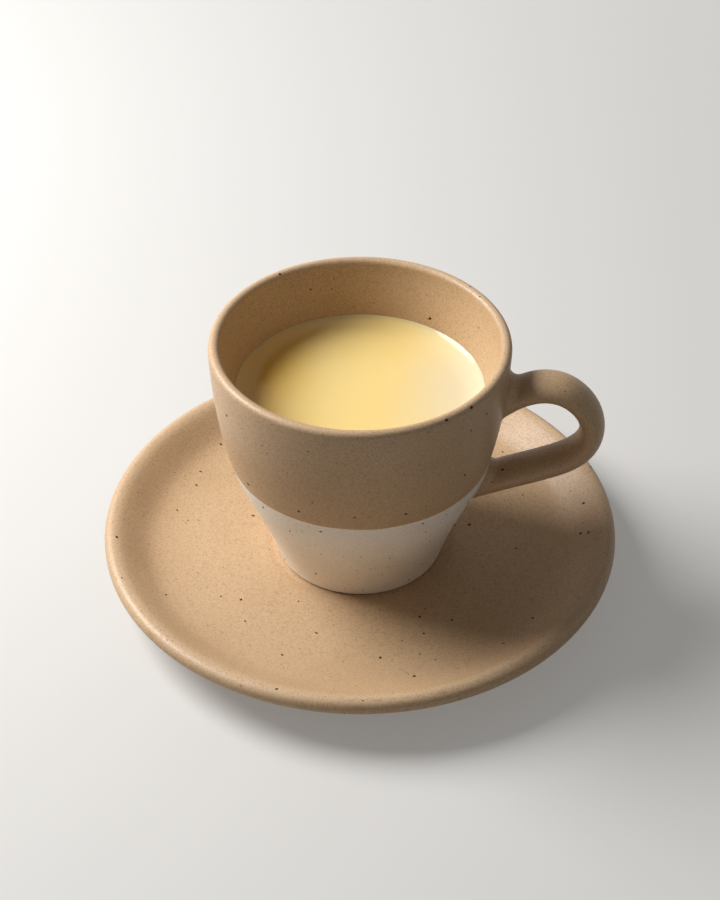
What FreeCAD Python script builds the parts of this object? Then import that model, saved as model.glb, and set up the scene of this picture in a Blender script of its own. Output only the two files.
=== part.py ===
import FreeCAD, Part
import os
import Sketcher

# A small stoneware coffee cup with its strap handle, the drink in it and its saucer.
# Millimetres. Z is up, the origin is on the cup's axis at the surface the saucer stands on,
# and the handle points along +X. Levels of the cup and of the drink count from the cup's foot.

# Driving sizes: name, value, what it is.
SIZES = [
    ("saucer_radius", 72.5, "saucer, outer radius over the rolled rim"),
    ("saucer_floor", 4.6, "saucer, thickness of the flat floor"),
    ("saucer_rise", 6.2, "saucer, centre of the rolled rim above the cup's seat"),
    ("saucer_roll", 2.3, "saucer, radius of the rolled rim"),
    ("saucer_slope", 28.0, "saucer, width of the curve from the crest of the rim to the flat floor"),
    ("saucer_wall", 4.4, "saucer, thickness of that curve"),
    ("saucer_foot_radius", 44.0, "saucer, outer radius of the foot ring"),
    ("saucer_foot_width", 3.8, "saucer, width of the foot ring"),
    ("saucer_foot_lift", 2.6, "saucer, height of the foot ring"),
    ("foot_edge", 0.9, "both foot rings, radius of their edges"),
    ("well_gap", 1.2, "well in the saucer, its radius beyond the cup's foot"),
    ("well_drop", 0.5, "well in the saucer, its depth"),
    ("well_ease", 2.6, "well in the saucer, width of its soft edge"),
    ("cup_tall", 70.8, "cup, height from foot to lip"),
    ("cup_rim_radius", 40.1, "cup, outer radius of the lip"),
    ("cup_foot_radius", 23.6, "cup, outer radius of the foot"),
    ("cup_foot_width", 4.2, "cup, width of the foot ring"),
    ("cup_foot_lift", 1.8, "cup, height of the foot ring"),
    ("cup_floor", 5.0, "cup, thickness of the floor"),
    ("cup_lip", 3.0, "cup, thickness of the rounded lip"),
    ("cup_wall", 5.6, "cup, thickness of the wall below its throat"),
    ("cup_throat", 12.0, "cup, depth of the throat, over which the lip thickens into the wall"),
    ("cup_heel", 5.4, "cup, height over which the inside turns into the floor"),
    ("flare_radius", 26.2, "cup, control radius of the flare over the foot"),
    ("flare_level", 10.0, "cup, control level of that flare"),
    ("bowl_radius", 30.4, "cup, control radius where the bowl begins"),
    ("bowl_level", 20.0, "cup, control level where the bowl begins"),
    ("shoulder_radius", 39.4, "cup, control radius of the full bowl"),
    ("shoulder_drop", 28.8, "cup, depth of the full bowl's control point below the lip"),
    ("drink_level", 53.0, "drink, level of its surface"),
    ("meniscus_rise", 1.9, "drink, how far its edge climbs the wall"),
    ("meniscus_reach", 7.0, "drink, how far from the wall it begins to climb"),
    ("meniscus_bend", 2.8, "drink, how far from the wall the climb steepens"),
    ("strap_width", 12.0, "handle, width of the strap"),
    ("strap_thick", 6.8, "handle, thickness of the strap"),
    ("strap_fillet", 2.5, "handle, fillet where the strap meets the wall"),
    ("upper_depth", 9.4, "handle, how far its upper end starts inside the shoulder"),
    ("upper_drop", 26.8, "handle, depth of its upper end below the lip"),
    ("crown_out", 3.4, "handle, control point over the upper arm, beyond the lip's radius"),
    ("crown_drop", 7.9, "handle, depth of that control point below the lip"),
    ("bow_out", 22.2, "handle, control point at the top of the bend, beyond the lip's radius"),
    ("bow_drop", 11.7, "handle, depth of that control point below the lip"),
    ("turn_out", 25.7, "handle, control point at the foot of the bend, beyond the lip's radius"),
    ("turn_level", 35.7, "handle, level of that control point"),
    ("return_out", 1.1, "handle, control point on the lower arm, beyond the lip's radius"),
    ("return_level", 30.1, "handle, level of that control point"),
    ("lower_depth", 7.4, "handle, how far its lower end starts inside the start of the bowl"),
    ("lower_level", 20.2, "handle, level of its lower end"),
]

# Places in the part's frame, worked out from the sizes: name, formula, what it is.
PLACES = [
    ("floor_top", "=Sizes.saucer_foot_lift + Sizes.saucer_floor", "saucer, top of the flat floor"),
    ("seat", "=floor_top - Sizes.well_drop", "bottom of the well, on which the cup stands"),
    ("well_radius", "=Sizes.cup_foot_radius + Sizes.well_gap", "well, radius of its flat bottom"),
    ("well_middle", "=well_radius + Sizes.well_ease / 2", "well, middle of its soft edge"),
    ("well_brim", "=well_radius + Sizes.well_ease", "well, where its edge meets the floor"),
    ("ring_inside", "=Sizes.saucer_foot_radius - Sizes.saucer_foot_width", "saucer's foot ring, inside"),
    ("ring_tread_in", "=ring_inside + Sizes.foot_edge", "saucer's foot ring, inside of its flat tread"),
    ("ring_tread_out", "=Sizes.saucer_foot_radius - Sizes.foot_edge", "the same, outside"),
    ("ring_shoulder", "=Sizes.saucer_foot_lift - Sizes.foot_edge", "saucer's foot ring, top of its side"),
    ("belly_start", "=Sizes.saucer_foot_radius + Sizes.foot_edge", "saucer's underside, beside the ring"),
    ("rim_middle", "=Sizes.saucer_radius - Sizes.saucer_roll", "saucer, radius of the rolled rim's centre"),
    ("rim_level", "=seat + Sizes.saucer_rise", "saucer, centre of the rolled rim"),
    ("rim_under", "=rim_level - Sizes.saucer_roll", "saucer, underside of the rolled rim"),
    ("crest_level", "=rim_level + Sizes.saucer_roll", "saucer, crest of the rolled rim"),
    ("crest_inside", "=rim_middle - Sizes.saucer_roll", "saucer, inner side of the rolled rim"),
    ("floor_radius", "=rim_middle - Sizes.saucer_slope", "saucer, radius of the flat floor"),
    ("slope_turn", "=rim_middle - Sizes.saucer_slope / 2", "saucer, middle of the inner curve"),
    ("slope_low", "=(crest_inside + slope_turn) / 2", "saucer, where the inner curve steepens"),
    ("slope_rise", "=floor_top + Sizes.saucer_roll", "saucer, level there"),
    ("belly_low", "=slope_low + Sizes.saucer_wall / 2", "saucer's underside, below that place"),
    ("belly_rise", "=slope_rise - Sizes.saucer_wall", "saucer's underside, level there"),
    ("foot_inside", "=Sizes.cup_foot_radius - Sizes.cup_foot_width", "cup's foot ring, inside"),
    ("foot_tread_in", "=foot_inside + Sizes.foot_edge", "cup's foot ring, inside of its flat tread"),
    ("foot_tread_out", "=Sizes.cup_foot_radius - Sizes.foot_edge", "the same, outside"),
    ("foot_edge_level", "=seat + Sizes.foot_edge", "cup's foot ring, top of its rounded edges"),
    ("hollow_level", "=seat + Sizes.cup_foot_lift", "cup, its underside inside the foot ring"),
    ("lip_level", "=seat + Sizes.cup_tall", "cup, top of the lip"),
    ("flare_at", "=seat + Sizes.flare_level", "cup, control level of the flare"),
    ("bowl_at", "=seat + Sizes.bowl_level", "cup, control level of the bowl"),
    ("shoulder_at", "=lip_level - Sizes.shoulder_drop", "cup, control level of the shoulder"),
    ("lip_round", "=Sizes.cup_lip / 2", "cup, radius of the rounded lip"),
    ("lip_side", "=lip_level - Sizes.cup_lip / 2", "cup, level of the lip's sides"),
    ("lip_over", "=lip_level + Sizes.cup_lip", "a level clear above the lip"),
    ("lip_middle", "=Sizes.cup_rim_radius - Sizes.cup_lip / 2", "cup, radius of the lip's crest"),
    ("lip_inside", "=Sizes.cup_rim_radius - Sizes.cup_lip", "cup, radius inside the lip"),
    ("bore_floor", "=hollow_level + Sizes.cup_floor", "cup, level of the inside floor"),
    ("bore_throat", "=Sizes.shoulder_radius - Sizes.cup_wall", "inside, control radius of the throat"),
    ("bore_throat_at", "=lip_side - Sizes.cup_throat", "inside, level there"),
    ("bowl_middle", "=(Sizes.bowl_radius + Sizes.shoulder_radius) / 2", "cup, radius half way up the bowl"),
    ("bore_waist", "=bowl_middle - Sizes.cup_wall", "inside, half way up the bowl"),
    ("bore_waist_at", "=(shoulder_at + bowl_at) / 2", "inside, level there"),
    ("bore_heel_at", "=bore_floor + Sizes.cup_heel", "inside, level above the turn into the floor"),
    ("bore_foot", "=Sizes.cup_foot_radius - Sizes.cup_wall", "inside, where the floor begins"),
    ("drink_top", "=seat + Sizes.drink_level", "drink, its surface"),
    ("drink_edge_top", "=drink_top + Sizes.meniscus_rise", "drink, top of its meniscus"),
    ("upper_root", "=Sizes.shoulder_radius - Sizes.upper_depth", "handle, radius of its upper end"),
    ("upper_at", "=lip_level - Sizes.upper_drop", "handle, level of its upper end"),
    ("crown", "=Sizes.cup_rim_radius + Sizes.crown_out", "handle, over the upper arm"),
    ("crown_at", "=lip_level - Sizes.crown_drop", "handle, level there"),
    ("bow", "=Sizes.cup_rim_radius + Sizes.bow_out", "handle, top of the bend"),
    ("bow_at", "=lip_level - Sizes.bow_drop", "handle, level there"),
    ("turn", "=Sizes.cup_rim_radius + Sizes.turn_out", "handle, foot of the bend"),
    ("turn_at", "=seat + Sizes.turn_level", "handle, level there"),
    ("back", "=Sizes.cup_rim_radius + Sizes.return_out", "handle, on the lower arm"),
    ("back_at", "=seat + Sizes.return_level", "handle, level there"),
    ("lower_root", "=Sizes.bowl_radius - Sizes.lower_depth", "handle, its lower end"),
    ("lower_at", "=seat + Sizes.lower_level", "handle, level there"),
]

AXIS = None


def make_sheet(doc, name, rows):
    """Writes one sheet: an alias, its number or formula, and what it stands for."""
    sheet = doc.addObject("Spreadsheet::Sheet", name)
    for row, (alias, value, meaning) in enumerate(rows, start=1):
        sheet.set("A%d" % row, alias)
        sheet.set("B%d" % row, str(value))
        sheet.set("C%d" % row, meaning)
        sheet.setAlias("B%d" % row, alias)
    doc.recompute()
    return sheet


doc = FreeCAD.newDocument("CoffeeCup")
sizes = make_sheet(doc, "Sizes", SIZES)
places = make_sheet(doc, "Places", PLACES)
SIZE_NAMES = [row[0] for row in SIZES]


def number(alias):
    """The value of a size or a place, or 0 on the axis."""
    if alias is AXIS:
        return 0.0
    sheet = sizes if alias in SIZE_NAMES else places
    return float(sheet.get(alias))


def formula(alias):
    """The expression that binds a constraint to a size or a place."""
    return ("Sizes." if alias in SIZE_NAMES else "Places.") + alias


class Outline:
    """A sketch drawn point by point, with every point held by named sizes and places."""

    def __init__(self, body, name, plane):
        self.sketch = body.newObject("Sketcher::SketchObject", name)
        support = [o for o in body.Origin.OriginFeatures if o.Role == plane]
        self.sketch.AttachmentSupport = [(support[0], "")]
        self.sketch.MapMode = "FlatFace"
        self.first = None
        self.last = None

    def point(self, across, up):
        return FreeCAD.Vector(number(across), number(up), 0)

    def bind(self, kind, alias, *where):
        index = self.sketch.addConstraint(Sketcher.Constraint(kind, *where, number(alias)))
        self.sketch.setExpression("Constraints[%d]" % index, formula(alias))

    def hold(self, where, across, up):
        """Holds one point at its places; the axis is the sketch's own vertical axis."""
        if across is AXIS:
            self.sketch.addConstraint(Sketcher.Constraint("PointOnObject", *where, -2))
        else:
            self.bind("DistanceX", across, -1, 1, *where)
        if up is AXIS:
            self.sketch.addConstraint(Sketcher.Constraint("PointOnObject", *where, -1))
        else:
            self.bind("DistanceY", up, -1, 1, *where)

    def start(self, across, up):
        self.first = (across, up)
        self.last = (across, up)
        self.first_end = None
        self.last_end = None

    def joined(self, begin, end, across, up):
        """Ties a new piece to the one before it and holds its far end."""
        if self.last_end is None:
            self.first_end = begin
            self.hold(begin, *self.last)
        else:
            self.sketch.addConstraint(Sketcher.Constraint("Coincident", *self.last_end, *begin))
        if (across, up) == self.first:
            self.sketch.addConstraint(Sketcher.Constraint("Coincident", *end, *self.first_end))
        else:
            self.hold(end, across, up)
        self.last = (across, up)
        self.last_end = end

    def line(self, across, up):
        piece = Part.LineSegment(self.point(*self.last), self.point(across, up))
        index = self.sketch.addGeometry(piece, False)
        self.joined((index, 1), (index, 2), across, up)

    def arc(self, across, up, centre, radius):
        """A round of the given radius about centre, to the next point."""
        begin = self.point(*self.last)
        end = self.point(across, up)
        middle = self.point(*centre)
        way = (begin - middle).normalize() + (end - middle).normalize()
        through = middle + way.normalize() * number(radius)
        index = self.sketch.addGeometry(Part.Arc(begin, through, end), False)
        nearest = min((1, 2), key=lambda pos: (self.sketch.getPoint(index, pos) - begin).Length)
        self.joined((index, nearest), (index, 3 - nearest), across, up)
        self.bind("Radius", radius, index)

    def curve(self, *controls):
        """A smooth curve from the last point, pulled by its control points to the last of them."""
        controls = [self.last] + list(controls)
        spline = Part.BSplineCurve()
        spline.buildFromPoles([self.point(*control) for control in controls])
        index = self.sketch.addGeometry(spline, False)
        self.sketch.exposeInternalGeometry(index)
        for step, control in enumerate(controls[1:-1], start=1):
            self.hold((index + 1 + step, 3), *control)
        self.joined((index, 1), (index, 2), *controls[-1])


def turn(body, kind, name, outline):
    """A full turn of an outline about the axis: a Revolution adds, a Groove cuts."""
    item = body.newObject("PartDesign::" + kind, name)
    item.Profile = (outline.sketch, [""])
    item.ReferenceAxis = ([o for o in body.Origin.OriginFeatures if o.Role == "Z_Axis"][0], [""])
    item.Angle = 360
    outline.sketch.Visibility = False
    doc.recompute()
    return item


def new_body(name):
    body = doc.addObject("PartDesign::Body", name)
    body.Label = name
    doc.recompute()
    return body


# Control points of the cup's inside, from below the lip to the axis.
BORE = (
    ("bore_throat", "bore_throat_at"),
    ("bore_waist", "bore_waist_at"),
    ("cup_foot_radius", "bore_heel_at"),
    ("bore_foot", "bore_floor"),
    (AXIS, "bore_floor"),
)


def draw_bore(outline):
    """The cup's inside, from the lip down to the axis: the cavity and the drink share it."""
    outline.curve(*BORE)


def make_saucer():
    body = new_body("saucer")
    outline = Outline(body, "SaucerOutline", "YZ_Plane")
    outline.start(AXIS, "saucer_foot_lift")
    outline.line("ring_inside", "saucer_foot_lift")
    outline.line("ring_inside", "foot_edge")
    outline.arc("ring_tread_in", AXIS, ("ring_tread_in", "foot_edge"), "foot_edge")
    outline.line("ring_tread_out", AXIS)
    outline.arc("saucer_foot_radius", "foot_edge", ("ring_tread_out", "foot_edge"), "foot_edge")
    outline.line("saucer_foot_radius", "ring_shoulder")
    outline.arc("belly_start", "saucer_foot_lift", ("belly_start", "ring_shoulder"), "foot_edge")
    outline.curve(
        ("slope_turn", "saucer_foot_lift"),
        ("belly_low", "belly_rise"),
        ("crest_inside", "rim_under"),
        ("rim_middle", "rim_under"),
    )
    outline.arc("saucer_radius", "rim_level", ("rim_middle", "rim_level"), "saucer_roll")
    outline.arc("rim_middle", "crest_level", ("rim_middle", "rim_level"), "saucer_roll")
    outline.curve(
        ("crest_inside", "crest_level"),
        ("slope_low", "slope_rise"),
        ("slope_turn", "floor_top"),
        ("floor_radius", "floor_top"),
    )
    outline.line("well_brim", "floor_top")
    outline.curve(
        ("well_middle", "floor_top"),
        ("well_middle", "seat"),
        ("well_radius", "seat"),
    )
    outline.line(AXIS, "seat")
    outline.line(AXIS, "saucer_foot_lift")
    turn(body, "Revolution", "SaucerForm", outline)
    return body


def sweep_strap(body):
    """The handle: one section swept along a path in the XZ plane, both ends inside the wall."""
    path = Outline(body, "StrapPath", "XZ_Plane")
    path.start("upper_root", "upper_at")
    path.curve(
        ("crown", "crown_at"),
        ("bow", "bow_at"),
        ("turn", "turn_at"),
        ("back", "back_at"),
        ("lower_root", "lower_at"),
    )
    doc.recompute()
    section = body.newObject("Sketcher::SketchObject", "StrapSection")
    section.AttachmentSupport = [(path.sketch, "Edge1")]
    section.MapMode = "NormalToEdge"
    doc.recompute()
    oval = Part.Ellipse(FreeCAD.Vector(0, 0, 0), number("strap_width") / 2, number("strap_thick") / 2)
    index = section.addGeometry(oval, False)
    section.exposeInternalGeometry(index)
    across = index + 1
    through = index + 2
    section.addConstraint(Sketcher.Constraint("Coincident", index, 3, -1, 1))
    section.addConstraint(Sketcher.Constraint("Horizontal", across))
    for line, size in ((across, "strap_width"), (through, "strap_thick")):
        held = section.addConstraint(Sketcher.Constraint("Distance", line, number(size)))
        section.setExpression("Constraints[%d]" % held, formula(size))
    strap = body.newObject("PartDesign::AdditivePipe", "Strap")
    strap.Profile = (section, [""])
    strap.Spine = (path.sketch, ["Edge1"])
    strap.Mode = "Standard"
    path.sketch.Visibility = False
    section.Visibility = False
    doc.recompute()
    return strap


def fillet_roots(body, strap):
    """Blends the strap into the wall along the two closed edges where it comes out of it."""
    edges = enumerate(strap.Shape.Edges, start=1)
    roots = ["Edge%d" % step for step, edge in edges if edge.Closed and not is_turned(edge)]
    fillet = body.newObject("PartDesign::Fillet", "StrapRoots")
    fillet.Base = (strap, roots)
    fillet.Radius = number("strap_fillet")
    fillet.setExpression("Radius", formula("strap_fillet"))
    doc.recompute()
    return fillet


def is_turned(edge):
    """True for the circles that the turned form of the cup leaves about the axis."""
    return edge.Curve.TypeId == "Part::GeomCircle"


def make_cup():
    """The solid form is turned, the strap is swept onto it, and then the inside is turned out."""
    body = new_body("cup")
    form = Outline(body, "CupOutline", "YZ_Plane")
    form.start(AXIS, "hollow_level")
    form.line("foot_inside", "hollow_level")
    form.line("foot_inside", "foot_edge_level")
    form.arc("foot_tread_in", "seat", ("foot_tread_in", "foot_edge_level"), "foot_edge")
    form.line("foot_tread_out", "seat")
    form.arc("cup_foot_radius", "foot_edge_level", ("foot_tread_out", "foot_edge_level"), "foot_edge")
    form.curve(
        ("flare_radius", "flare_at"),
        ("bowl_radius", "bowl_at"),
        ("shoulder_radius", "shoulder_at"),
        ("cup_rim_radius", "lip_side"),
    )
    form.arc("lip_middle", "lip_level", ("lip_middle", "lip_side"), "lip_round")
    form.line(AXIS, "lip_level")
    form.line(AXIS, "hollow_level")
    turn(body, "Revolution", "CupForm", form)

    strap = sweep_strap(body)
    fillet_roots(body, strap)

    inside = Outline(body, "InsideOutline", "YZ_Plane")
    inside.start(AXIS, "lip_over")
    inside.line("lip_middle", "lip_over")
    inside.line("lip_middle", "lip_level")
    inside.arc("lip_inside", "lip_side", ("lip_middle", "lip_side"), "lip_round")
    draw_bore(inside)
    inside.line(AXIS, "lip_over")
    turn(body, "Groove", "Inside", inside)
    return body


def make_drink():
    """The drink fills the inside from the floor up; all above its surface is turned away.

    The surface is level, and near the wall it climbs in a meniscus.
    """
    body = new_body("drink")
    form = Outline(body, "DrinkOutline", "YZ_Plane")
    form.start(AXIS, "lip_side")
    form.line("lip_inside", "lip_side")
    draw_bore(form)
    form.line(AXIS, "lip_side")
    turn(body, "Revolution", "DrinkForm", form)

    surface = Outline(body, "SurfaceOutline", "YZ_Plane")
    surface.start(AXIS, "drink_top")
    surface.line("drink_flat", "drink_top")
    surface.curve(("drink_bend", "drink_top"), ("drink_edge", "drink_edge_top"))
    surface.line("cup_rim_radius", "drink_edge_top")
    surface.line("cup_rim_radius", "lip_over")
    surface.line(AXIS, "lip_over")
    surface.line(AXIS, "drink_top")
    turn(body, "Groove", "Surface", surface)
    return body


def inside_radius(level):
    """Radius of the cup's inside at a level, read off its own curve."""
    controls = [("lip_inside", "lip_side")] + list(BORE)
    spline = Part.BSplineCurve()
    spline.buildFromPoles([FreeCAD.Vector(number(r), number(z), 0) for r, z in controls])
    height = number(level)
    rim = number("cup_rim_radius")
    across = Part.LineSegment(FreeCAD.Vector(0, height, 0), FreeCAD.Vector(rim, height, 0))
    return spline.intersect(across)[0].X


def add_place(alias, value, meaning):
    """Adds one more row to the sheet of places."""
    row = len(PLACES) + 1
    PLACES.append((alias, value, meaning))
    places.set("A%d" % row, alias)
    places.set("B%d" % row, str(value))
    places.set("C%d" % row, meaning)
    places.setAlias("B%d" % row, alias)
    doc.recompute()


add_place("drink_edge", inside_radius("drink_edge_top"), "drink, radius where its meniscus meets the wall")
add_place("drink_flat", "=drink_edge - Sizes.meniscus_reach", "drink, radius of the level surface")
add_place("drink_bend", "=drink_edge - Sizes.meniscus_bend", "drink, radius where the meniscus steepens")

bodies = [make_saucer(), make_cup(), make_drink()]
doc.recompute()

for item in doc.Objects:
    if "Invalid" in item.State or "Error" in item.State:
        raise RuntimeError("%s could not be built: %s" % (item.Name, item.State))
for body in bodies:
    if body.Shape.isNull() or not body.Shape.isValid() or len(body.Shape.Solids) != 1:
        raise RuntimeError("%s is not one valid solid" % body.Label)

os.makedirs("parts", exist_ok=True)
for body in bodies:
    body.Shape.exportStep("parts/%s.step" % body.Label)
    print("%-8s %8.1f cubic centimetres" % (body.Label, body.Shape.Volume / 1000))
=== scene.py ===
import math

import bpy
from bpy.props import FloatProperty, FloatVectorProperty, IntProperty, PointerProperty
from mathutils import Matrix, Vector
from mathutils.bvhtree import BVHTree


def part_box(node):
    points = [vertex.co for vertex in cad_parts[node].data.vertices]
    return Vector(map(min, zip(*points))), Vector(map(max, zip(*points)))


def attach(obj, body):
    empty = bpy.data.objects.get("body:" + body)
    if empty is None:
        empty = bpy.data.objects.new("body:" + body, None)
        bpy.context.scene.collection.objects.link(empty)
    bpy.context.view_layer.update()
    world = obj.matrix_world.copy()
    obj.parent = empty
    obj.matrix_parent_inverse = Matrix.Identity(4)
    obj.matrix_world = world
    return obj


bl_info = {
    "name": "Stoneware Coffee Cup",
    "version": (1, 0, 0),
    "blender": (4, 5, 0),
    "location": "View3D > Sidebar > Coffee Cup",
    "description": "Glazes a stoneware cup and saucer, colours the milky drink and sets the stage",
    "category": "Add Mesh",
}

# The frame: three solids in metres, +Z up, the cup's axis on Z and the handle towards +X.
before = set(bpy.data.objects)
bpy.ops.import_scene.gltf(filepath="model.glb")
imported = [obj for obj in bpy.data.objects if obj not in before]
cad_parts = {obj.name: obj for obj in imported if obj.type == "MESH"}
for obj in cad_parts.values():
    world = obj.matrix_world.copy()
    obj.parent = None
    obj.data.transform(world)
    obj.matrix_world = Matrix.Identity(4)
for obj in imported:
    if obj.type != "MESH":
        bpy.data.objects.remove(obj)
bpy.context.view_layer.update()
cup_low, cup_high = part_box("cup")
saucer_low, saucer_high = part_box("saucer")
_, drink_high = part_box("drink")

MM = 0.001
WELD = 0.001 * MM

# Share of the backdrop's tone that the floor has right beside the object.
FLOOR_LIFT = 0.3

# Shift that keeps the pale dots of the glaze off its dark ones.
PALE_SHIFT = (0.013, 0.007, 0.021)

# Level above its foot up to which the clay of a piece is bare, and where its wall is measured.
BARE_FOOT = 0.5 * MM
FOOT_LEVEL = 2 * MM

# Edges of the solids that turn more than this stay sharp.
SHARP_ANGLE = math.radians(35)

# A speck is a low ball, flattened to this share of its length and 0.45 to 0.95 of it wide.
SPECK_SEGMENTS = 8
SPECK_RINGS = 4
SPECK_DEPTH = 0.16
SPECK_WIDTHS = (0.45, 0.95)

# Small specks far outnumber large ones: sizes follow an even draw raised to this power.
SPECK_RARITY = 2.6

# Offsets of the seed for each thing that is drawn for a speck.
SIZE_DRAW, WIDTH_DRAW, SPIN_DRAW = 11, 12, 13


def probe(node):
    """A search tree over a solid's faces, for rays."""
    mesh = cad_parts[node].data
    corners = [corner.co for corner in mesh.vertices]
    return BVHTree.FromPolygons(corners, [face.vertices for face in mesh.polygons])


cup_faces = probe("cup")


def wall_radius(level):
    """Outer radius of the cup's wall at a level, on the side away from the handle."""
    hit, _, _, _ = cup_faces.ray_cast(Vector((-1, 0, level)), Vector((1, 0, 0)))
    return abs(hit.x)


def linear(red, green, blue):
    """A colour given as it looks on a screen, from 0 to 255, as Blender's linear colour."""
    levels = [value / 255 for value in (red, green, blue)]
    return [v / 12.92 if v < 0.04045 else ((v + 0.055) / 1.055) ** 2.4 for v in levels]


# ---------------------------------------------------------------- settings

def colour(name, description, *screen):
    """A colour property with its default given as it looks on a screen."""
    return FloatVectorProperty(
        name=name,
        description=description,
        subtype="COLOR",
        size=3,
        min=0,
        max=1,
        default=linear(*screen),
    )


def length(name, description, millimetres):
    """A length property in metres, with its default in millimetres."""
    return FloatProperty(
        name=name,
        description=description,
        unit="LENGTH",
        precision=5,
        default=millimetres * MM,
    )


def share(name, description, default):
    """A property between 0 and 1."""
    return FloatProperty(
        name=name,
        description=description,
        subtype="FACTOR",
        min=0,
        max=1,
        default=default,
    )


def degrees(name, description, default):
    """An angle in degrees."""
    return FloatProperty(name=name, description=description + ", in degrees", default=default)


class GlazeSettings(bpy.types.PropertyGroup):
    """The colours and the finish of the fired glaze."""

    tan: colour("Tan", "Glaze of the saucer, the handle and the upper cup", 200, 168, 131)
    tan_deep: colour("Deep tan", "The same glaze where it lies thicker", 192, 159, 121)
    # Paler glaze on the saucer's crest and the cup's lip: partly glaze running thin over the edge, partly
    # a painted highlight. The pale dots in the glaze share this colour.
    worn_and_highlight: colour("Edge", "Glaze where it runs thin over an edge", 228, 200, 168)
    cream: colour("Cream", "Dipped band on the lower cup", 247, 240, 228)
    biscuit: colour("Bare clay", "Foot rings, wiped clean of glaze", 188, 152, 116)
    grain: colour("Grain", "Finest dark dots in the glaze", 118, 84, 58)
    dip_level: length("Dip line", "Height of the line between the two glazes above the cup's foot", 35.8)
    dip_wander: length("Dip wander", "How far the dip line strays up and down", 0.25)
    roughness: share("Roughness", "Roughness of the satin glaze", 0.48)


class SpeckSettings(bpy.types.PropertyGroup):
    """Iron specks that melt through the glaze."""

    iron: colour("Iron", "Colour of the specks", 50, 31, 18)
    rust: colour("Rust", "Colour of the patches on them", 92, 58, 34)
    smallest: length("Smallest", "Length of the smallest speck", 0.25)
    largest: length("Largest", "Length of the largest speck", 1.15)
    on_saucer: FloatProperty(name="On saucer", description="Specks on a square metre", default=12000)
    on_cup: FloatProperty(name="On cup", description="Specks on a square metre", default=9000)
    seed: IntProperty(name="Seed", description="Seed of their places and sizes", default=7)


class DrinkSettings(bpy.types.PropertyGroup):
    """The milky drink."""

    milk: colour("Milk", "Colour of the drink", 240, 212, 138)
    # Painted shade: the drink's colour where the wall's shadow falls, painted on the side away from the
    # handle.
    painted_shade_amber: colour("Amber", "Deeper colour on the side away from the handle", 238, 190, 84)
    # Painted sheen: a paler, whiter tint on the handle's side that stands in for the reflection of the
    # sky, not froth.
    painted_sheen: colour("Froth", "Paler colour on the handle's side, where fine froth lies on it", 226, 214, 180)
    film: colour("Film", "Thin film at the edge, where the drink climbs the wall", 222, 206, 160)
    roughness: share("Roughness", "Roughness of its surface", 0.13)


class StageSettings(bpy.types.PropertyGroup):
    """The floor, the lights and the camera."""

    floor: colour("Floor", "Colour of the plain floor", 190, 188, 185)
    backdrop: colour("Backdrop", "Pale tone that the floor fades into behind the cup", 212, 210, 206)
    floor_size: length("Floor size", "Half the width of the floor", 4000)
    floor_near: length("Floor near", "Distance from the cup at which the floor starts to fade", 150)
    floor_far: length("Floor far", "Distance at which it has faded into the backdrop", 1100)
    sky: share("Sky", "Strength of the even light from all round", 0.12)
    key: FloatProperty(name="Key", description="Power of the large soft lamp", unit="POWER", default=7.1)
    key_distance: length("Key distance", "Distance of the large soft lamp", 700)
    key_size: length("Key size", "Width of the large soft lamp", 420)
    key_azimuth: degrees("Key azimuth", "Lamp's bearing from +X", 164)
    key_height: degrees("Key height", "Lamp's height over the horizon", 44)
    lens: FloatProperty(name="Lens", description="Focal length in millimetres", default=72.86)
    reach: length("Reach", "Camera's distance from the cup's axis on the floor", 387.7)
    height: length("Height", "Camera's height above the floor", 360.7)
    turn: degrees("Turn", "Camera's turn to the handle's side", 6.4)
    pitch: degrees("Pitch", "How far the camera looks down", 39.63)


# ---------------------------------------------------------------- node trees

class Nodes:
    """Adds nodes to a tree and wires them; a value is either a number or another node's socket."""

    def __init__(self, tree):
        self.tree = tree

    def feed(self, socket, value):
        if isinstance(value, bpy.types.NodeSocket):
            self.tree.links.new(value, socket)
        else:
            socket.default_value = value

    def add(self, kind, inputs=None, **settings):
        node = self.tree.nodes.new(kind)
        for name, value in settings.items():
            setattr(node, name, value)
        for key, value in (inputs or {}).items():
            self.feed(node.inputs[key], value)
        return node

    def math(self, operation, *values):
        node = self.add("ShaderNodeMath", operation=operation)
        for socket, value in zip(node.inputs, values):
            self.feed(socket, value)
        return node.outputs[0]

    def vector(self, operation, *values):
        node = self.add("ShaderNodeVectorMath", operation=operation)
        for socket, value in zip(node.inputs, values):
            self.feed(socket, value)
        return node.outputs["Value" if operation in ("LENGTH", "DOT_PRODUCT") else "Vector"]

    def ease(self, value, low, high):
        """0 below low, 1 above high, and a soft step between them."""
        limits = {"Value": value, "From Min": low, "From Max": high}
        return self.add("ShaderNodeMapRange", limits, interpolation_type="SMOOTHSTEP").outputs["Result"]

    def noise(self, place, size, detail=2.0, roughness=0.5):
        """Noise whose features are about size metres wide."""
        inputs = {"Vector": place, "Scale": 1 / size, "Detail": detail, "Roughness": roughness}
        return self.add("ShaderNodeTexNoise", inputs).outputs["Fac"]

    def blend(self, factor, first, second):
        node = self.add("ShaderNodeMix", data_type="RGBA")
        self.feed(node.inputs["Factor"], factor)
        self.feed(node.inputs[6], first)
        self.feed(node.inputs[7], second)
        return node.outputs[2]


def looked_at(nodes):
    """1 for what the camera, a reflection or a see-through piece shows, 0 for light on the object."""
    path = nodes.add("ShaderNodeLightPath").outputs
    direct = nodes.math("MAXIMUM", path["Is Camera Ray"], path["Is Glossy Ray"])
    return nodes.math("MAXIMUM", direct, path["Is Transmission Ray"])


def opaque(screen_colour):
    return (*screen_colour, 1.0)


def new_material(name):
    """An empty material, its nodes and its Principled shader."""
    material = bpy.data.materials.new(name)
    material.use_nodes = True
    nodes = Nodes(material.node_tree)
    return material, nodes, material.node_tree.nodes["Principled BSDF"]


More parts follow.
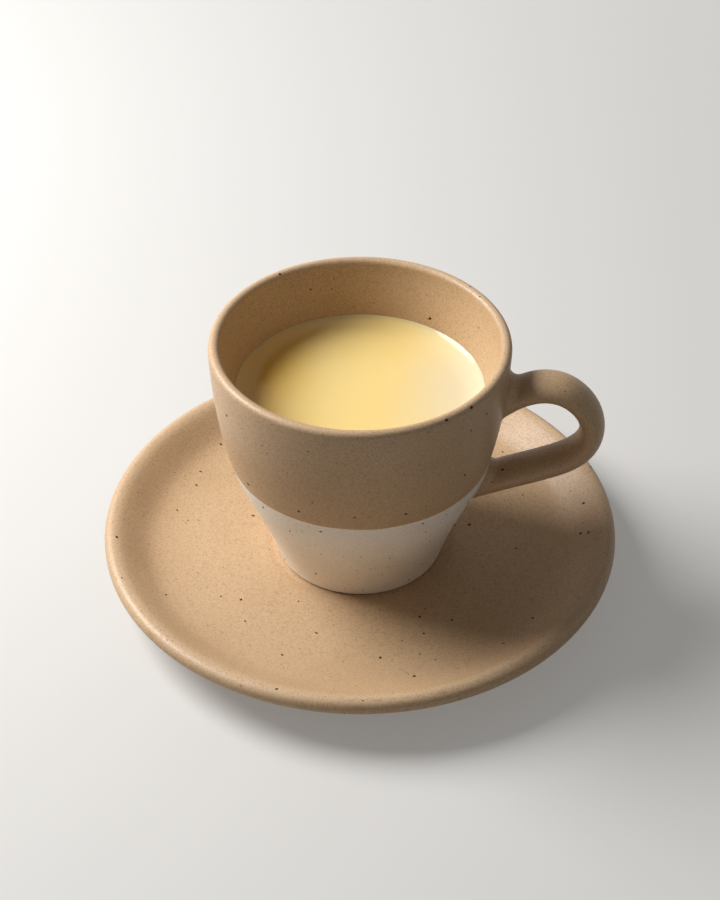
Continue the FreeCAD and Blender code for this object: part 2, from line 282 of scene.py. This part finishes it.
def dots(nodes, place, spacing, size, some):
    """1 in small round dots about spacing apart, each up to size across, on a share of the cells."""
    cells = nodes.add("ShaderNodeTexVoronoi", {"Vector": place, "Scale": 1 / spacing, "Randomness": 1.0})
    pick = nodes.add("ShaderNodeSeparateColor", {"Color": cells.outputs["Color"]})
    chosen = nodes.math("LESS_THAN", pick.outputs["Red"], some)
    reach = nodes.math("MULTIPLY", pick.outputs["Green"], size / spacing / 2)
    away = nodes.math("DIVIDE", cells.outputs["Distance"], reach)
    round_dot = nodes.math("SUBTRACT", 1.0, nodes.ease(away, 0.6, 1.2))
    return nodes.math("MULTIPLY", round_dot, chosen)


class Glaze:
    """One glaze material, built up from its tan ground to its relief."""

    # Widths of its patterns, from the broad patches to the sandy relief.
    clouds = 30 * MM
    dip_waves = 9 * MM
    tint_clouds = 6 * MM
    edge_patches = 5 * MM
    peel_bumps = 1.6 * MM
    mottle_spots = 0.5 * MM
    sand_grains = 0.35 * MM

    # Half the width of the soft step between two glazes, and between glaze and clay.
    dip_softness = 0.15 * MM
    bare_softness = 0.1 * MM

    def __init__(self, name, settings):
        self.material, self.nodes, self.shader = new_material(name)
        self.settings = settings
        n = self.nodes
        self.place = n.add("ShaderNodeTexCoord").outputs["Object"]
        parts = n.add("ShaderNodeSeparateXYZ", {"Vector": self.place})
        self.level = parts.outputs["Z"]
        flat = n.add("ShaderNodeCombineXYZ", {"X": parts.outputs["X"], "Y": parts.outputs["Y"]})
        self.radius = n.vector("LENGTH", flat.outputs["Vector"])
        clouds = n.noise(self.place, self.clouds)
        patches = n.ease(clouds, 0.3, 0.8)
        self.ground = n.blend(patches, opaque(settings.tan), opaque(settings.tan_deep))
        self.band = 0.0

    def over(self, factor, top):
        self.ground = self.nodes.blend(factor, self.ground, top)

    def dip(self, wall):
        """The cream band below the dip line, only on the wall and not on the handle."""
        n = self.nodes
        line = cup_low.z + self.settings.dip_level
        stray = n.math("SUBTRACT", n.noise(self.place, self.dip_waves), 0.5)
        wandering = n.math("MULTIPLY_ADD", stray, self.settings.dip_wander * 2, self.level)
        above = n.ease(wandering, line - self.dip_softness, line + self.dip_softness)
        below = n.math("SUBTRACT", 1.0, above)
        proud = n.math("SUBTRACT", self.radius, wall(self))
        on_wall = n.math("SUBTRACT", 1.0, n.ease(proud, 0.3 * MM, 0.9 * MM))
        self.band = n.math("MULTIPLY", below, on_wall)
        warm = n.blend(0.06, opaque(self.settings.cream), opaque(self.settings.tan))
        faint = n.ease(n.noise(self.place, self.tint_clouds, detail=3.0), 0.4, 0.75)
        self.over(self.band, n.blend(faint, opaque(self.settings.cream), warm))

    def wear_and_highlight(self, low, high, strength):
        """Paler glaze over an edge that lies between two levels: partly glaze running thin there, partly a
        painted highlight.
        """
        n = self.nodes
        uneven = n.math("MULTIPLY_ADD", n.noise(self.place, self.edge_patches), 0.5, 0.6)
        worn_and_highlight = n.math("MULTIPLY", n.ease(self.level, low, high), uneven)
        self.over(n.math("MULTIPLY", worn_and_highlight, strength), opaque(self.settings.worn_and_highlight))

    def bare(self, level):
        """Bare clay below a level."""
        n = self.nodes
        above = n.ease(self.level, level - self.bare_softness, level + self.bare_softness)
        below = n.math("SUBTRACT", 1.0, above)
        self.over(below, opaque(self.settings.biscuit))

    def finish(self):
        """Grain, finest dots, roughness and relief."""
        n = self.nodes
        spots = n.noise(self.place, self.mottle_spots, detail=3.0, roughness=0.7)
        mottle = n.ease(spots, 0.45, 0.62)
        sandy = n.math("MULTIPLY_ADD", self.band, -0.16, 0.3)
        self.over(n.math("MULTIPLY", mottle, sandy), opaque(self.settings.grain))
        pin_dots = dots(n, self.place, 1.7 * MM, 0.62 * MM, 0.45)
        self.over(n.math("MULTIPLY", pin_dots, 0.65), opaque(self.settings.grain))
        shifted = n.vector("ADD", self.place, PALE_SHIFT)
        pale_dots = dots(n, shifted, 2.4 * MM, 0.36 * MM, 0.3)
        self.over(n.math("MULTIPLY", pale_dots, 0.5), opaque(self.settings.worn_and_highlight))
        rough = n.math("MULTIPLY_ADD", mottle, 0.14, self.settings.roughness - 0.07)
        n.feed(self.shader.inputs["Base Color"], self.ground)
        n.feed(self.shader.inputs["Roughness"], rough)
        self.shader.inputs["Specular IOR Level"].default_value = 0.4
        peel = n.noise(self.place, self.peel_bumps)
        sand = n.math("MULTIPLY", n.noise(self.place, self.sand_grains), 0.5)
        relief = n.math("SUBTRACT", n.math("ADD", peel, sand), n.math("MULTIPLY", pin_dots, 0.8))
        bump = n.add("ShaderNodeBump", {"Strength": 0.5, "Distance": 0.03 * MM, "Height": relief})
        n.feed(self.shader.inputs["Normal"], bump.outputs["Normal"])
        return self.material


def cup_wall(glaze):
    """Radius of the cup's outer wall at the shaded point's level, from the frame."""
    steps = 6
    foot = cup_low.z + FOOT_LEVEL
    top = cup_low.z + glaze.settings.dip_level * 1.1
    curve = glaze.nodes.add("ShaderNodeFloatCurve")
    points = curve.mapping.curves[0].points
    for step in range(steps + 1):
        level = foot + (top - cup_low.z - FOOT_LEVEL) * step / steps
        place = (level / cup_high.z, wall_radius(level) / cup_high.z)
        if step < 2:
            points[step].location = place
        else:
            points.new(*place)
    curve.mapping.update()
    glaze.nodes.feed(curve.inputs["Value"], glaze.nodes.math("DIVIDE", glaze.level, cup_high.z))
    return glaze.nodes.math("MULTIPLY", curve.outputs["Value"], cup_high.z)


def iron_material(settings):
    """Iron oxide that melted through the glaze: dark, with rusty patches."""
    material, nodes, shader = new_material("iron speck")
    place = nodes.add("ShaderNodeTexCoord").outputs["Object"]
    rust = nodes.ease(nodes.noise(place, 0.5 * MM), 0.4, 0.8)
    blend = nodes.blend(rust, opaque(settings.iron), opaque(settings.rust))
    nodes.feed(shader.inputs["Base Color"], blend)
    shader.inputs["Roughness"].default_value = 0.6
    shader.inputs["Specular IOR Level"].default_value = 0.2
    return material


def drink_material(settings):
    """Milk with a little coffee: opaque, smooth, with a thin pale film where it climbs the wall, painted
    shade on the side away from the handle and a painted sheen on the handle's side.
    """
    material, nodes, shader = new_material("milky drink")
    place = nodes.add("ShaderNodeTexCoord").outputs["Object"]
    parts = nodes.add("ShaderNodeSeparateXYZ", {"Vector": place})
    flat = nodes.add("ShaderNodeCombineXYZ", {"X": parts.outputs["X"], "Y": parts.outputs["Y"]})
    radius = nodes.vector("LENGTH", flat.outputs["Vector"])
    drift = nodes.math("SUBTRACT", nodes.noise(place, 22 * MM, detail=1.0), 0.5)
    across = nodes.math("MULTIPLY_ADD", drift, 12 * MM, parts.outputs["X"])
    # Painted shade: the side away from the handle is painted a deeper amber where the wall's shadow falls
    # on the drink.
    clear_of_painted_shade = nodes.ease(across, -drink_high.x, -0.25 * drink_high.x)
    # Painted sheen: the handle's side is painted paler and whiter in place of the sky's reflection.
    painted_sheen_share = nodes.ease(across, 0.1 * drink_high.x, drink_high.x)
    body = nodes.blend(clear_of_painted_shade, opaque(settings.painted_shade_amber), opaque(settings.milk))
    body = nodes.blend(painted_sheen_share, body, opaque(settings.painted_sheen))
    edge = nodes.ease(radius, drink_high.x - 1.4 * MM, drink_high.x - 0.2 * MM)
    film = nodes.math("MULTIPLY", edge, 0.25)
    nodes.feed(shader.inputs["Base Color"], nodes.blend(film, body, opaque(settings.film)))
    shader.inputs["Roughness"].default_value = settings.roughness
    shader.inputs["IOR"].default_value = 1.35
    shader.inputs["Subsurface Weight"].default_value = 0.3
    shader.inputs["Subsurface Radius"].default_value = (1.0, 0.7, 0.3)
    shader.inputs["Subsurface Scale"].default_value = 3 * MM
    ripple = nodes.noise(place, 18 * MM, detail=1.0)
    bump = nodes.add("ShaderNodeBump", {"Strength": 0.3, "Distance": 0.1 * MM, "Height": ripple})
    nodes.feed(shader.inputs["Normal"], bump.outputs["Normal"])
    return material


# ---------------------------------------------------------------- geometry trees

def geometry_tree(name, sockets):
    """A Geometry Nodes tree with named inputs (name, socket type) and one mesh as its output."""
    tree = bpy.data.node_groups.new(name, "GeometryNodeTree")
    for label, kind in sockets:
        tree.interface.new_socket(label, in_out="INPUT", socket_type=kind)
    tree.interface.new_socket("Geometry", in_out="OUTPUT", socket_type="NodeSocketGeometry")
    nodes = Nodes(tree)
    entry = nodes.add("NodeGroupInput")
    leave = nodes.add("NodeGroupOutput")
    return tree, nodes, entry.outputs, leave.inputs["Geometry"]


def smooth_tree():
    """Welds a solid's loose triangles and shades them smooth up to its real edges."""
    tree, nodes, given, result = geometry_tree("Smooth Skin", [("Geometry", "NodeSocketGeometry")])
    weld = nodes.add("GeometryNodeMergeByDistance", {"Geometry": given["Geometry"], "Distance": WELD})
    faces = nodes.add("GeometryNodeSetShadeSmooth", {0: weld.outputs[0]}, domain="FACE")
    faces.inputs["Shade Smooth"].default_value = True
    turn = nodes.add("GeometryNodeInputMeshEdgeAngle").outputs["Unsigned Angle"]
    sharp = nodes.math("GREATER_THAN", turn, SHARP_ANGLE)
    edges = nodes.add("GeometryNodeSetShadeSmooth", {0: faces.outputs[0], 1: sharp}, domain="EDGE")
    edges.inputs["Shade Smooth"].default_value = False
    nodes.feed(result, edges.outputs[0])
    return tree


def skin(node, material):
    """Gives a solid of the frame its material and smooth shading; its own mesh stays as it is."""
    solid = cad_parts[node]
    for slot in solid.material_slots:
        slot.material = material
    smooth = solid.modifiers.new("Smooth Skin", "NODES")
    smooth.node_group = bpy.data.node_groups.get("Smooth Skin") or smooth_tree()


def speck_tree():
    """Scatters flat, uneven specks over a solid, away from where nobody sees them."""
    tree, nodes, given, result = geometry_tree(
        "Iron Specks",
        [
            ("Geometry", "NodeSocketGeometry"),
            ("Solid", "NodeSocketObject"),
            ("Density", "NodeSocketFloat"),
            ("Smallest", "NodeSocketFloat"),
            ("Largest", "NodeSocketFloat"),
            ("Lowest", "NodeSocketFloat"),
            ("Covered Radius", "NodeSocketFloat"),
            ("Covered Level", "NodeSocketFloat"),
            ("Seed", "NodeSocketInt"),
            ("Material", "NodeSocketMaterial"),
        ],
    )
    solid = nodes.add("GeometryNodeObjectInfo", {"Object": given["Solid"]})
    loose = {"Geometry": solid.outputs["Geometry"], "Distance": WELD}
    weld = nodes.add("GeometryNodeMergeByDistance", loose)
    spread = nodes.add(
        "GeometryNodeDistributePointsOnFaces",
        {"Mesh": weld.outputs[0], "Density": given["Density"], "Seed": given["Seed"]},
    )
    place = nodes.add("GeometryNodeInputPosition").outputs["Position"]
    parts = nodes.add("ShaderNodeSeparateXYZ", {"Vector": place})
    flat = nodes.vector("MULTIPLY", place, (1, 1, 0))
    inside = nodes.math("LESS_THAN", nodes.vector("LENGTH", flat), given["Covered Radius"])
    under = nodes.math("LESS_THAN", parts.outputs["Z"], given["Covered Level"])
    outward = nodes.vector("DOT_PRODUCT", spread.outputs["Normal"], nodes.vector("NORMALIZE", flat))
    turned_in = nodes.math("LESS_THAN", outward, 0.2)
    covered = nodes.math("MULTIPLY", nodes.math("MULTIPLY", inside, under), turned_in)
    low = nodes.math("LESS_THAN", parts.outputs["Z"], given["Lowest"])
    hidden = nodes.math("MAXIMUM", covered, low)
    seen = nodes.add(
        "GeometryNodeDeleteGeometry",
        {"Geometry": spread.outputs["Points"], "Selection": hidden},
        domain="POINT",
    )

    def chance(low_value, high_value, offset):
        inputs = {2: low_value, 3: high_value, "Seed": nodes.math("ADD", given["Seed"], offset)}
        return nodes.add("FunctionNodeRandomValue", inputs, data_type="FLOAT").outputs[1]

    steep = nodes.math("POWER", chance(0.0, 1.0, SIZE_DRAW), SPECK_RARITY)
    span = nodes.math("SUBTRACT", given["Largest"], given["Smallest"])
    size = nodes.math("MULTIPLY_ADD", span, steep, given["Smallest"])
    width = chance(*SPECK_WIDTHS, WIDTH_DRAW)
    shape = nodes.add("ShaderNodeCombineXYZ", {"X": 1.0, "Y": width, "Z": SPECK_DEPTH})
    scale = nodes.vector("MULTIPLY", shape.outputs["Vector"], size)
    heading = chance(0.0, math.tau, SPIN_DRAW)
    spin = nodes.add("ShaderNodeCombineXYZ", {"Z": heading}).outputs["Vector"]
    turned = nodes.add("FunctionNodeEulerToRotation", {"Euler": spin}).outputs["Rotation"]
    laid = nodes.add(
        "FunctionNodeRotateRotation",
        {"Rotation": spread.outputs["Rotation"], "Rotate By": turned},
        rotation_space="LOCAL",
    )
    ball = nodes.add(
        "GeometryNodeMeshUVSphere",
        {"Radius": 0.5, "Segments": SPECK_SEGMENTS, "Rings": SPECK_RINGS},
    )
    put = nodes.add(
        "GeometryNodeInstanceOnPoints",
        {
            "Points": seen.outputs["Geometry"],
            "Instance": ball.outputs["Mesh"],
            "Rotation": laid.outputs["Rotation"],
            "Scale": scale,
        },
    )
    real = nodes.add("GeometryNodeRealizeInstances", {"Geometry": put.outputs["Instances"]})
    ragged = nodes.add("ShaderNodeTexNoise", {"Vector": place, "Scale": 1 / (0.5 * MM), "Detail": 1.0})
    push = nodes.vector("SUBTRACT", ragged.outputs["Color"], (0.5, 0.5, 0.5))
    uneven = nodes.add(
        "GeometryNodeSetPosition",
        {"Geometry": real.outputs["Geometry"], "Offset": nodes.vector("MULTIPLY", push, (0.1 * MM,) * 3)},
    )
    smooth = nodes.add("GeometryNodeSetShadeSmooth", {0: uneven.outputs["Geometry"]})
    coloured = nodes.add(
        "GeometryNodeSetMaterial",
        {"Geometry": smooth.outputs[0], "Material": given["Material"]},
    )
    nodes.feed(result, coloured.outputs["Geometry"])
    return tree


def from_tree(name, tree, values):
    """Evaluates a tree with the named values and keeps the result as a plain mesh piece."""
    carrier = bpy.data.objects.new(name + " carrier", bpy.data.meshes.new(name + " carrier"))
    bpy.context.scene.collection.objects.link(carrier)
    modifier = carrier.modifiers.new(tree.name, "NODES")
    modifier.node_group = tree
    for item in tree.interface.items_tree:
        if item.in_out == "INPUT" and item.name in values:
            modifier[item.identifier] = values[item.name]
    seen = carrier.evaluated_get(bpy.context.evaluated_depsgraph_get())
    mesh = bpy.data.meshes.new_from_object(seen)
    bpy.data.objects.remove(carrier)
    mesh.name = name
    piece = bpy.data.objects.new(name, mesh)
    bpy.context.scene.collection.objects.link(piece)
    if not mesh.polygons:
        raise RuntimeError(name + " came out empty")
    return piece


# ---------------------------------------------------------------- operators

class COFFEE_OT_glaze_saucer(bpy.types.Operator):
    """Gives the saucer its speckled tan glaze"""

    bl_idname = "coffee.glaze_saucer"
    bl_label = "Glaze Saucer"

    def execute(self, context):
        glaze = Glaze("tan glaze", context.scene.coffee_glaze)
        # Paler crest all round the rim: glaze running thin, with a painted highlight in it.
        glaze.wear_and_highlight(saucer_high.z - 1.2 * MM, saucer_high.z, 0.3)
        glaze.bare(saucer_low.z + BARE_FOOT)
        skin("saucer", glaze.finish())
        return {"FINISHED"}


class COFFEE_OT_glaze_cup(bpy.types.Operator):
    """Gives the cup its two glazes, the worn lip with a painted highlight on it, and the bare foot"""

    bl_idname = "coffee.glaze_cup"
    bl_label = "Glaze Cup"

    def execute(self, context):
        glaze = Glaze("two-tone glaze", context.scene.coffee_glaze)
        glaze.dip(cup_wall)
        # Paler lip: glaze running thin, with a painted highlight in it.
        glaze.wear_and_highlight(cup_high.z - 1.4 * MM, cup_high.z - 0.2 * MM, 0.15)
        glaze.bare(cup_low.z + BARE_FOOT)
        skin("cup", glaze.finish())
        return {"FINISHED"}


class COFFEE_OT_pour_drink(bpy.types.Operator):
    """Colours the drink"""

    bl_idname = "coffee.pour_drink"
    bl_label = "Pour Drink"

    def execute(self, context):
        skin("drink", drink_material(context.scene.coffee_drink))
        return {"FINISHED"}


class COFFEE_OT_scatter_specks(bpy.types.Operator):
    """Scatters iron specks over the saucer and the cup"""

    bl_idname = "coffee.scatter_specks"
    bl_label = "Scatter Specks"

    def execute(self, context):
        settings = context.scene.coffee_specks
        iron = iron_material(settings)
        tree = speck_tree()
        foot_radius = wall_radius(cup_low.z + FOOT_LEVEL)
        plans = [
            ("saucer", settings.on_saucer, foot_radius, saucer_high.z, "saucer_glaze"),
            ("cup", settings.on_cup, drink_high.x, drink_high.z, "cup_glaze"),
        ]
        for node, density, covered_radius, covered_level, slot in plans:
            low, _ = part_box(node)
            values = {
                "Solid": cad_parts[node],
                "Density": density,
                "Smallest": settings.smallest,
                "Largest": settings.largest,
                "Lowest": low.z + 0.6 * MM,
                "Covered Radius": covered_radius,
                "Covered Level": covered_level,
                "Seed": settings.seed,
                "Material": iron,
            }
            piece = from_tree(node + "_specks", tree, values)
            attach(piece, "root")
        return {"FINISHED"}


class COFFEE_OT_set_stage(bpy.types.Operator):
    """Lays the plain floor and sets the lights and the camera"""

    bl_idname = "coffee.set_stage"
    bl_label = "Set Stage"

    def execute(self, context):
        settings = context.scene.coffee_stage
        self.lay_floor(settings)
        self.light(settings)
        self.place_camera(settings)
        return {"FINISHED"}

    def lay_floor(self, settings):
        half = settings.floor_size
        corners = [(-half, -half, 0), (half, -half, 0), (half, half, 0), (-half, half, 0)]
        mesh = bpy.data.meshes.new("floor")
        mesh.from_pydata(corners, [], [(0, 1, 2, 3)])
        floor = bpy.data.objects.new("floor", mesh)
        bpy.context.scene.collection.objects.link(floor)
        material, nodes, shader = new_material("plain floor")
        shader.inputs["Base Color"].default_value = opaque(settings.floor)
        shader.inputs["Roughness"].default_value = 0.9
        shader.inputs["Emission Color"].default_value = opaque(settings.backdrop)
        place = nodes.add("ShaderNodeTexCoord").outputs["Object"]
        away = nodes.ease(nodes.vector("LENGTH", place), settings.floor_near, settings.floor_far)
        pale = nodes.math("MULTIPLY_ADD", away, 1 - FLOOR_LIFT, FLOOR_LIFT)
        nodes.feed(shader.inputs["Emission Strength"], nodes.math("MULTIPLY", pale, looked_at(nodes)))
        mesh.materials.append(material)

    def light(self, settings):
        world = bpy.data.worlds.new("soft sky")
        world.use_nodes = True
        nodes = Nodes(world.node_tree)
        sky = world.node_tree.nodes["Background"]
        seen = looked_at(nodes)
        nodes.feed(sky.inputs["Color"], nodes.blend(seen, (1, 1, 1, 1), opaque(settings.backdrop)))
        nodes.feed(sky.inputs["Strength"], nodes.math("MAXIMUM", seen, settings.sky))
        bpy.context.scene.world = world
        lamp = bpy.data.lights.new("key", "AREA")
        lamp.shape = "DISK"
        lamp.size = settings.key_size
        lamp.energy = settings.key
        key = bpy.data.objects.new("key", lamp)
        bearing = math.radians(settings.key_azimuth)
        height = math.radians(settings.key_height)
        flat = math.cos(height)
        way = Vector((math.cos(bearing) * flat, math.sin(bearing) * flat, math.sin(height)))
        key.location = way * settings.key_distance
        key.rotation_euler = way.to_track_quat("Z", "Y").to_euler()
        bpy.context.scene.collection.objects.link(key)

    def place_camera(self, settings):
        lens = bpy.data.cameras.new("camera")
        lens.lens = settings.lens
        camera = bpy.data.objects.new("camera", lens)
        turn = math.radians(settings.turn)
        camera.location = (
            math.sin(turn) * settings.reach,
            -math.cos(turn) * settings.reach,
            settings.height,
        )
        camera.rotation_euler = (math.radians(90 - settings.pitch), 0, turn)
        bpy.context.scene.collection.objects.link(camera)
        bpy.context.scene.camera = camera
        bpy.context.scene.view_settings.view_transform = "Standard"


class VIEW3D_PT_coffee(bpy.types.Panel):
    """The cup's settings and steps"""

    bl_label = "Coffee Cup"
    bl_idname = "VIEW3D_PT_coffee"
    bl_space_type = "VIEW_3D"
    bl_region_type = "UI"
    bl_category = "Coffee Cup"

    def draw(self, context):
        for attribute, group in SETTINGS.items():
            box = self.layout.box()
            box.label(text=group.__name__.replace("Settings", ""))
            for name in group.__annotations__:
                box.prop(getattr(context.scene, attribute), name)
        for operator in OPERATORS:
            self.layout.operator(operator.bl_idname)


SETTINGS = {
    "coffee_glaze": GlazeSettings,
    "coffee_specks": SpeckSettings,
    "coffee_drink": DrinkSettings,
    "coffee_stage": StageSettings,
}
OPERATORS = (
    COFFEE_OT_glaze_saucer,
    COFFEE_OT_glaze_cup,
    COFFEE_OT_pour_drink,
    COFFEE_OT_scatter_specks,
    COFFEE_OT_set_stage,
)


def register():
    for each in (*SETTINGS.values(), *OPERATORS, VIEW3D_PT_coffee):
        bpy.utils.register_class(each)
    for attribute, group in SETTINGS.items():
        setattr(bpy.types.Scene, attribute, PointerProperty(type=group))


def unregister():
    for attribute in SETTINGS:
        delattr(bpy.types.Scene, attribute)
    for each in (VIEW3D_PT_coffee, *reversed(OPERATORS), *SETTINGS.values()):
        bpy.utils.unregister_class(each)


def main():
    register()
    bpy.ops.coffee.glaze_saucer()
    bpy.ops.coffee.glaze_cup()
    bpy.ops.coffee.pour_drink()
    bpy.ops.coffee.scatter_specks()
    bpy.ops.coffee.set_stage()


if __name__ == "__main__":
    main()
